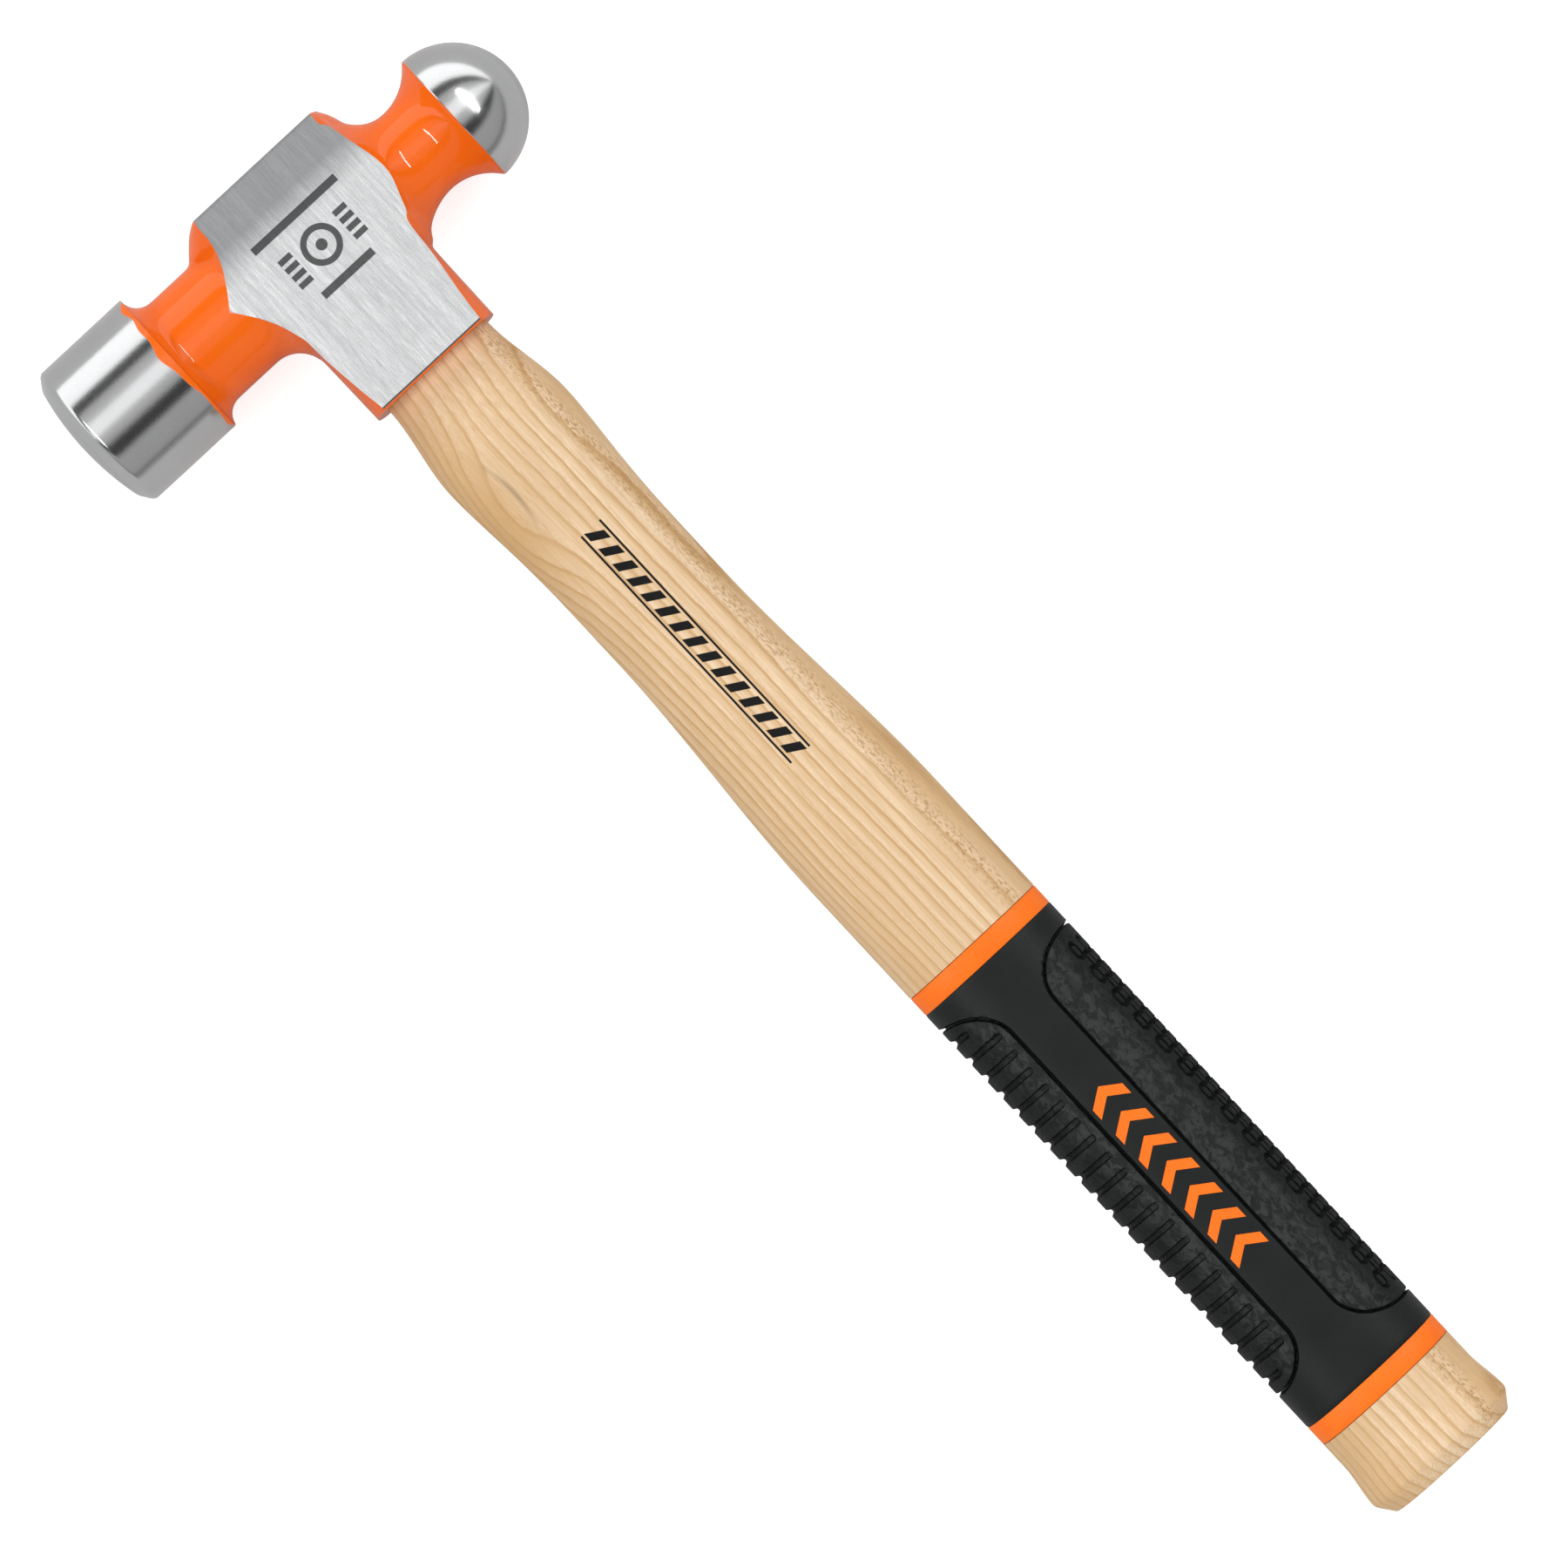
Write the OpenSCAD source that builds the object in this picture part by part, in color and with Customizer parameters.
// Ball peen hammer: a forged steel head wedged onto a hickory handle that has a two-colour moulded grip.
// It lies on its side: +X towards the ball, +Y out of the top of the head, +Z up through the cheeks.
// The modules draw about the place where the poll's axis crosses the handle's, and place() moves
// everything so that the origin is under the middle of the whole hammer, at its lowest point.

/* [Poll] */
// Diameter of the poll, the striking end
poll_d = 36.5; // [30:0.1:44]
// From the handle's axis to the top of the crowned striking face
face_reach = 67.9; // [56:0.1:82]
// Length of the poll, from the crown to the shoulder behind it
poll_len = 27.5; // [20:0.1:33]
// How far the striking face is crowned
crown_rise = 1.9; // [0.5:0.1:3]
// Length of the bevel round the striking face
face_bevel_len = 2.2; // [1:0.1:3.5]
// How deep that bevel cuts into the poll's radius
face_bevel_deep = 2.9; // [1:0.1:4]
// Radius of the hollow behind the poll's shoulder
poll_hollow = 4.3; // [2:0.1:5]
// Diameter of the neck between poll and cheeks
poll_neck_d = 27.9; // [22:0.1:33]
// Radius of the fillet where that neck runs into the cheeks
poll_neck_fillet = 7.5; // [4:0.1:9]

/* [Peen] */
// Diameter of the ball
ball_d = 32.7; // [27:0.1:40]
// From the handle's axis to the tip of the ball
peen_reach = 54.8; // [46:0.1:66]
// How far the ball's axis lies below the poll's, towards the handle
peen_drop = 1.7; // [0:0.1:3]
// Diameter of the peen's neck at its waist
peen_neck_d = 21.7; // [17:0.1:26]
// From the cheeks to the waist of that neck
peen_neck_out = 11.5; // [9:0.1:14]

/* [Cheeks] */
// Length of the cheek block, along the head
cheek_l = 34; // [32:0.1:40]
// Thickness across the two ground cheeks
cheek_t = 28; // [26:0.1:34]
// Height of the cheek block above the poll's axis
cheek_up = 19.1; // [17:0.1:23]
// Depth of the skirt below the poll's axis
cheek_down = 38.3; // [31:0.1:46]
// How far the block sits towards the poll from the handle's axis
cheek_shift = 0.5; // [0:0.1:1]
// Radius of the block's four upright edges
cheek_round = 2; // [1:0.1:3]
// Bevel along the top and bottom edges of the cheeks
cheek_bevel = 0.8; // [0.4:0.1:1.5]

/* [Eye and wedges] */
// Wall of the skirt at its thinnest, at the ball end of the eye
eye_wall = 2.2; // [1.8:0.1:3.5]
// Wall of the skirt at each cheek
cheek_wall = 4.5; // [3.5:0.1:6]
// How much wider the eye is at the top, on each side
eye_flare = 0.8; // [0.4:0.1:1.2]
// Depth of that widening from the top of the head
eye_flare_deep = 26; // [22:1:31]
// Gap left between the eye and the tenon all round
eye_fit = 0.05; // [0.02:0.01:0.1]
// How far the tenon stops short of the top of the head
tenon_inset = 0.4; // [0.2:0.1:1]
// Thickness of the wooden wedge at its head
wood_wedge_t = 5; // [4:0.1:6]
// Thickness of the wooden wedge at its tip
wood_wedge_tip = 1.2; // [1:0.1:2]
// Depth that the wooden wedge is driven
wood_wedge_deep = 30; // [24:0.5:36]
// Depth of empty saw kerf left under its tip
kerf_spare = 3; // [1:0.5:5]
// Width of each steel wedge, across the eye
steel_wedge_w = 15; // [12:0.1:17]
// Thickness of each steel wedge at its head
steel_wedge_t = 2.8; // [2:0.1:3.5]
// Thickness of each steel wedge at its tip
steel_wedge_tip = 0.8; // [0.5:0.1:1.2]
// Depth that the steel wedges are driven
steel_wedge_deep = 17; // [12:0.5:20]
// Distance between the middles of the two steel wedges
steel_wedge_apart = 14; // [12:0.1:16]
// Gap between a wedge and what it is driven into
wedge_fit = 0.03; // [0.01:0.01:0.06]

/* [Handle] */
// From the bottom of the skirt to the butt
handle_len = 320.2; // [262:0.1:390]
// Width of the swell below the head
swell_w = 33.8; // [30:0.1:40]
// Thickness of that swell
swell_t = 25; // [22:0.1:29]
// From the skirt to the widest place of the swell
swell_at = 22.3; // [18:0.1:27]
// Width of the waist
waist_w = 30.3; // [25:0.1:33]
// Thickness of the waist
waist_t = 22.5; // [19:0.1:25]
// From the skirt to the beginning of the waist
waist_at = 64.5; // [52:0.5:78]
// Length of the waist
waist_len = 9; // [5:0.5:15]
// Straight wood at the grip's full size ahead of the front band
full_ahead = 30.7; // [20:0.1:36]
// How far the butt flares out past the grip, on each side of its width
butt_flare_w = 1.05; // [0.5:0.05:4]
// How far it flares on each side of its thickness
butt_flare_t = 0.9; // [0.5:0.05:3]
// Length over which the butt flares
butt_flare_len = 10.8; // [6:0.1:13]
// Length of the bevel round the butt
butt_bevel_len = 3.9; // [2:0.1:5]
// How deep that bevel cuts, on each side
butt_bevel_deep = 2.6; // [1:0.1:3.2]

/* [Grip] */
// Width of the grip, flush with the wood at both ends
grip_w = 36.1; // [30:0.1:44]
// Thickness of the grip
grip_t = 27; // [22.5:0.1:33]
// Length of the grip, over its two end bands
grip_len = 130.2; // [108:0.1:157]
// Bare wood behind the grip
butt_bare = 21.3; // [17.7:0.1:26]
// Length of each end band
band_len = 4.9; // [3:0.1:6]
// Wall of the black sleeve over the coloured liner
sleeve_wall = 1.75; // [1.4:0.05:2.2]
// Wall of the coloured liner
liner_wall = 0.8; // [0.5:0.1:1]
// Gap between liner and wood
liner_fit = 0.05; // [0.02:0.01:0.1]

/* [Grip panels] */
// Rubber left in the sleeve under the two textured panels
panel_floor = 0.55; // [0.4:0.05:0.8]
// Open groove round each panel
panel_gap = 0.5; // [0.2:0.05:0.6]
// From the front band to the ribbed finger panel
finger_front = 4.9; // [4:0.1:8]
// From the finger panel to the rear band
finger_back = 9.6; // [6:0.1:12]
// From the handle's axis to the finger panel's inner edge
finger_edge = 7.4; // [6.5:0.1:9]
// From the front band to the tread palm panel
palm_front = 6; // [4:0.1:8]
// From the palm panel to the rear band
palm_back = 7.6; // [6:0.1:12]
// From the handle's axis to the palm panel's inner edge
palm_edge = 4.9; // [4:0.1:6]
// Reach of a panel's round corners across the handle
corner_across = 12; // [8:0.1:13]
// Reach of those corners along the handle
corner_along = 10; // [8:0.1:13]
// Distance between the grooves across the finger panel
rib_pitch = 4.92; // [4:0.01:6]
// Least length of panel beyond the first and last groove
rib_margin = 3.5; // [2:0.1:5]
// Width of a groove
rib_w = 1.7; // [0.8:0.1:2]
// Depth of a groove
rib_deep = 0.75; // [0.4:0.05:0.75]
// From the panel's inner edge to where the grooves begin
rib_in = 1.5; // [1:0.1:3]
// The same for the first and last groove, which are shorter
rib_end_in = 6.4; // [4:0.1:8]
// Number of chevrons in the mark on each side of the grip
mark_count = 7; // [3:1:8]
// Length of the whole mark along the handle
mark_len = 49; // [35:0.5:56]
// Width of the mark across the handle
mark_w = 8.6; // [6:0.1:9]
// How far the mark sits towards the finger panel
mark_shift = 1.3; // [0:0.1:1.5]
// Thickness of a chevron's stroke along the handle
mark_stroke = 2.8; // [2:0.1:3.4]
// How far a chevron's arms fall back
mark_fall = 3; // [2:0.1:4]
// Gap round each chevron where it fills its window in the sleeve
mark_fit = 0.05; // [0.02:0.01:0.1]

/* [Hidden] */

$fn = 96;
// Points round an oval section, and how square that oval is: 2 is an ellipse
oval_points = 36;
oval_power = 2.3;
// Segments in an arc of an outline
arc_steps = 10;
// Rings along each curved stretch of the handle
handle_steps = 9;
// How far a cutting tool reaches past what it cuts
over = 5;

block_poll = -cheek_shift - cheek_l / 2;
block_peen = -cheek_shift + cheek_l / 2;
peen_neck_x = block_peen + peen_neck_out;
ball_x = peen_reach - ball_d / 2;
shoulder_x = poll_len - face_reach;

skirt_y = -cheek_down;
butt_y = skirt_y - handle_len;
grip_back_y = butt_y + butt_bare;
grip_front_y = grip_back_y + grip_len;
sleeve_back_y = grip_back_y + band_len;
sleeve_front_y = grip_front_y - band_len;
sleeve_mid_y = (sleeve_back_y + sleeve_front_y) / 2;
tenon_top = cheek_up - tenon_inset;
flare_y = cheek_up - eye_flare_deep;

// Sections as [length or width along X, thickness along Z]
eye = [2 * (block_peen - eye_wall), cheek_t - 2 * cheek_wall];
eye_top = eye + 2 * [eye_flare, eye_flare];
fit_all_round = 2 * [eye_fit, eye_fit];
swell = [swell_w, swell_t];
waist = [waist_w, waist_t];
grip = [grip_w, grip_t];
butt = grip + 2 * [butt_flare_w, butt_flare_t];
butt_end = butt - 2 * [butt_bevel_deep, butt_bevel_deep];
liner_out = grip - 2 * [sleeve_wall, sleeve_wall];
liner_in = liner_out - 2 * [liner_wall, liner_wall];
seat = liner_in - 2 * [liner_fit, liner_fit];
pocket = liner_out + 2 * [panel_floor, panel_floor];
rib_bottom = grip - 2 * [rib_deep, rib_deep];

// The whole hammer's box, for the origin
x_low = -face_reach;
x_high = peen_reach;
y_high = max(cheek_up, poll_d / 2, ball_d / 2 - peen_drop);
z_reach = max(poll_d, ball_d, cheek_t, butt[1], swell_t) / 2;

// ---- curves and outlines ----

// Runs from 0 to 1 with a level start and a level end
function ease(u) = u * u * (3 - 2 * u);
// The same, but slower to leave 0
function late(u) = ease(pow(u, 1.6));
// Even steps from 0 to 1, both included
function steps(n) = [for (i = [0:n]) i / n];
// Points on an arc, or on a part of an ellipse, about a centre
function arc(centre, radii, from, to) =
    [for (u = steps(arc_steps)) let (a = from + u * (to - from))
        centre + [radii[0] * cos(a), radii[1] * sin(a)]];
// Sine or cosine pushed out towards a square corner
function squared(v) = sign(v) * pow(abs(v), 2 / oval_power);
function oval(size) =
    [for (i = [0:oval_points - 1]) let (a = 360 * i / oval_points)
        [size[0] / 2 * squared(cos(a)), size[1] / 2 * squared(sin(a))]];
// Stations of a loft from one section to another along a curve, without the first
function blend(from_y, from, to_y, to, curve) =
    [for (i = [1:handle_steps]) let (u = i / handle_steps)
        [from_y + u * (to_y - from_y), from + curve[i] * (to - from)]];
eased = [for (u = steps(handle_steps)) ease(u)];
lated = [for (u = steps(handle_steps)) late(u)];

// ---- shared shapes ----

module place() {
    translate([-(x_low + x_high) / 2, -(y_high + butt_y) / 2, z_reach]) children();
}

// Turns an outline of [distance along X, radius] about the X axis
module turned(outline) {
    rotate([0, 90, 0]) rotate_extrude() polygon([for (p = outline) [p[1], p[0]]]);
}

// A solid with an oval section at each station, from the lowest y up, as [y, section]
module loft(stations) {
    n = oval_points;
    last = len(stations) - 1;
    points = [for (s = stations) for (p = oval(s[1])) [p[0], s[0], p[1]]];
    sides = [for (k = [0:last - 1]) for (i = [0:n - 1]) let (j = (i + 1) % n)
        [k * n + i, k * n + j, (k + 1) * n + j, (k + 1) * n + i]];
    ends = [[for (i = [n - 1:-1:0]) i], [for (i = [0:n - 1]) last * n + i]];
    polyhedron(points, concat(sides, ends));
}

// A straight bar along the handle with an oval section
module bar(section, back, front) {
    translate([0, back, 0]) rotate([-90, 0, 0]) linear_extrude(front - back) polygon(oval(section));
}

module tube(outer, inner, back, front) {
    difference() {
        bar(outer, back, front);
        bar(inner, back - over, front + over);
    }
}

// Outline of a wedge, as [half thickness, y], driven from the tenon's end; rise carries it on above that
function wedge_outline(head, tip, deep, fit, rise) =
    let (top = head / 2 + fit + (head - tip) / 2 / deep * rise)
    [[-tip / 2 - fit, tenon_top - deep - fit], [tip / 2 + fit, tenon_top - deep - fit],
        [top, tenon_top + rise], [-top, tenon_top + rise]];

module wood_wedge_shape(fit = 0, rise = 0) {
    translate([-cheek_l / 2, 0, 0]) rotate([0, 90, 0]) linear_extrude(cheek_l)
        polygon(wedge_outline(wood_wedge_t, wood_wedge_tip, wood_wedge_deep, fit, rise));
}

module steel_wedge_shape(x, fit = 0, rise = 0) {
    translate([x, 0, 0]) linear_extrude(steel_wedge_w + 2 * fit, center = true)
        polygon(wedge_outline(steel_wedge_t, steel_wedge_tip, steel_wedge_deep, fit, rise));
}

module steel_wedge_slots() {
    for (x = [-steel_wedge_apart / 2, steel_wedge_apart / 2]) steel_wedge_shape(x, wedge_fit, over);
}

// ---- head ----

crown_edge = poll_d / 2 - face_bevel_deep;
crown_r = (crown_edge * crown_edge + crown_rise * crown_rise) / 2 / crown_rise;
crown_turn = asin(crown_edge / crown_r);
hollow = min(poll_hollow, (poll_d - poll_neck_d) / 2);
neck_start = block_poll - poll_neck_fillet;

module poll() {
    turned(concat(
        arc([x_low + crown_r, 0], [crown_r, crown_r], 180, 180 - crown_turn),
        [[x_low + crown_rise + face_bevel_len, poll_d / 2], [shoulder_x, poll_d / 2]],
        arc([shoulder_x + hollow, poll_neck_d / 2 + hollow], [hollow, hollow], 180, 270),
        [[neck_start, poll_neck_d / 2], [neck_start, 0]]));
}

module poll_root() {
    fillet = poll_neck_fillet;
    turned(concat([[neck_start, 0]],
        arc([neck_start, poll_neck_d / 2 + fillet], [fillet, fillet], 270, 360),
        [[0, poll_neck_d / 2 + fillet], [0, 0]]));
}

module peen() {
    across = ball_x - peen_neck_x;
    rise = (ball_d - peen_neck_d) / 2;
    sweep_r = (across * across + rise * rise) / 2 / rise;
    turned(concat([[peen_neck_x, 0]],
        arc([peen_neck_x, peen_neck_d / 2 + sweep_r], [sweep_r, sweep_r], 270, 270 + asin(across / sweep_r)),
        arc([ball_x, 0], [ball_d / 2, ball_d / 2], 90, 0)));
}

module peen_root() {
    fillet = peen_neck_out;
    turned(concat([[0, 0], [0, peen_neck_d / 2 + fillet]],
        arc([peen_neck_x, peen_neck_d / 2 + fillet], [fillet, fillet], 180, 270),
        [[peen_neck_x, 0]]));
}

module cheek_block() {
    inner_l = cheek_l - 2 * cheek_round;
    inner_t = cheek_t - 2 * cheek_round;
    translate([-cheek_shift, skirt_y, 0]) rotate([-90, 0, 0]) linear_extrude(cheek_down + cheek_up) {
        square([inner_l, cheek_t], center = true);
        square([cheek_l, inner_t], center = true);
        for (x = [-inner_l / 2, inner_l / 2], z = [-inner_t / 2, inner_t / 2])
            translate([x, z]) circle(cheek_round);
    }
}

// Everything between the two ground cheeks, with their top and bottom edges bevelled
module cheek_slab() {
    half = cheek_t / 2;
    flat = half - cheek_bevel;
    translate([neck_start, 0, 0]) rotate([0, 90, 0]) linear_extrude(peen_neck_x - neck_start)
        polygon([[-flat, skirt_y], [flat, skirt_y], [half, skirt_y + cheek_bevel],
            [half, cheek_up - cheek_bevel], [flat, cheek_up], [-flat, cheek_up],
            [-half, cheek_up - cheek_bevel], [-half, skirt_y + cheek_bevel]]);
}

module head() {
    slope = eye_flare * 2 / eye_flare_deep;
    color("silver") place() difference() {
        union() {
            poll();
            translate([0, -peen_drop, 0]) peen();
            intersection() {
                cheek_slab();
                union() {
                    cheek_block();
                    poll_root();
                    translate([0, -peen_drop, 0]) peen_root();
                }
            }
        }
        loft([[skirt_y - over, eye], [flare_y, eye], [cheek_up + over, eye_top + slope * [over, over]]]);
    }
}

// ---- handle and wedges ----

tenon = eye - fit_all_round;
tenon_end = eye_top - fit_all_round - eye_flare * 2 * tenon_inset / eye_flare_deep * [1, 1];
bevel_y = butt_y + butt_bevel_len;
full_y = grip_front_y + full_ahead;
waist_y = skirt_y - waist_at - waist_len;
swell_y = skirt_y - swell_at;

module handle() {
    color("burlywood") place() difference() {
        loft(concat(
            [[butt_y, butt_end], [bevel_y, butt]],
            blend(bevel_y, butt, bevel_y + butt_flare_len, grip, eased),
            [[grip_back_y, grip], [grip_back_y, seat], [grip_front_y, seat], [grip_front_y, grip]],
            [[full_y, grip]],
            blend(full_y, grip, waist_y, waist, eased),
            [[waist_y + waist_len, waist]],
            blend(waist_y + waist_len, waist, swell_y, swell, lated),
            blend(swell_y, swell, skirt_y, tenon, eased),
            [[flare_y, tenon], [tenon_top, tenon_end]]));
        wood_wedge_shape(wedge_fit, over);
        translate([-cheek_l / 2, tenon_top - wood_wedge_deep - kerf_spare, -wood_wedge_tip / 2])
            cube([cheek_l, kerf_spare, wood_wedge_tip]);
        steel_wedge_slots();
    }
}

module wood_wedge() {
    color("tan") place() difference() {
        intersection() {
            wood_wedge_shape();
            loft([[skirt_y, tenon], [flare_y, tenon], [tenon_top, tenon_end]]);
        }
        steel_wedge_slots();
    }
}

module steel_wedge_poll() {
    color("dimgray") place() steel_wedge_shape(-steel_wedge_apart / 2);
}

module steel_wedge_peen() {
    color("dimgray") place() steel_wedge_shape(steel_wedge_apart / 2);
}

// ---- grip ----

// A column through the whole grip with a panel's outline: side is -1 for fingers and 1 for the palm
module panel_column(side, edge, front, back, gap) {
    top = sleeve_front_y - front + gap;
    bottom = sleeve_back_y + back - gap;
    inner = edge - gap;
    outer = grip_w / 2 + over;
    x = inner + corner_across;
    linear_extrude(grip_t + 2 * over, center = true) polygon([for (p = concat(
        [[outer, bottom]],
        arc([x, bottom + corner_along], [corner_across, corner_along], 270, 180),
        arc([x, top - corner_along], [corner_across, corner_along], 180, 90),
        [[outer, top]])) [side * p[0], p[1]]]);
}

module finger_column(gap = 0) {
    panel_column(-1, finger_edge, finger_front, finger_back, gap);
}

module palm_column(gap = 0) {
    panel_column(1, palm_edge, palm_front, palm_back, gap);
}

// Chevrons that point to the head, through the whole grip
module chevrons(fit = 0) {
    pitch = (mark_len - mark_stroke - mark_fall) / (mark_count - 1);
    half = mark_w / 2 + fit;
    fall = mark_fall * half / (mark_w / 2);
    for (i = [0:mark_count - 1]) {
        tip = sleeve_mid_y + mark_len / 2 - i * pitch + fit;
        low = tip - mark_stroke - 2 * fit;
        translate([-mark_shift, 0, 0]) linear_extrude(grip_t + 2 * over, center = true)
            polygon([[-half, tip - fall], [0, tip], [half, tip - fall],
                [half, low - fall], [0, low], [-half, low - fall]]);
    }
}

module grip_liner() {
    color("darkorange") place() {
        tube(liner_out, liner_in, grip_back_y, grip_front_y);
        tube(grip, liner_in, grip_back_y, sleeve_back_y);
        tube(grip, liner_in, sleeve_front_y, grip_front_y);
        intersection() {
            tube(grip, liner_in, sleeve_back_y, sleeve_front_y);
            chevrons();
        }
    }
}

module grip_sleeve() {
    color("dimgray") place() difference() {
        tube(grip, liner_out, sleeve_back_y, sleeve_front_y);
        chevrons(mark_fit);
        difference() {
            union() {
                finger_column(panel_gap);
                palm_column(panel_gap);
            }
            bar(pocket, sleeve_back_y - over, sleeve_front_y + over);
        }
    }
}

finger_len = sleeve_front_y - finger_front - sleeve_back_y - finger_back;
rib_count = 1 + floor((finger_len - 2 * rib_margin) / rib_pitch);
finger_mid_y = (sleeve_front_y - finger_front + sleeve_back_y + finger_back) / 2;

module rib_grooves() {
    reach = grip_w / 2 + over;
    difference() {
        for (i = [0:rib_count - 1]) {
            end = i == 0 || i == rib_count - 1;
            start = finger_edge + (end ? rib_end_in : rib_in) + rib_w / 2;
            translate([0, finger_mid_y + (i - (rib_count - 1) / 2) * rib_pitch, 0])
                linear_extrude(grip_t + 2 * over, center = true) {
                    translate([-reach, -rib_w / 2]) square([reach - start, rib_w]);
                    translate([-start, 0]) circle(rib_w / 2);
                }
        }
        bar(rib_bottom, sleeve_back_y, sleeve_front_y);
    }
}

module finger_panel() {
    color("slategray") place() difference() {
        intersection() {
            tube(grip, pocket, sleeve_back_y, sleeve_front_y);
            finger_column();
        }
        rib_grooves();
    }
}

module palm_panel() {
    color("slategray") place() intersection() {
        tube(grip, pocket, sleeve_back_y, sleeve_front_y);
        palm_column();
    }
}

head();
handle();
wood_wedge();
steel_wedge_poll();
steel_wedge_peen();
grip_liner();
grip_sleeve();
finger_panel();
palm_panel();
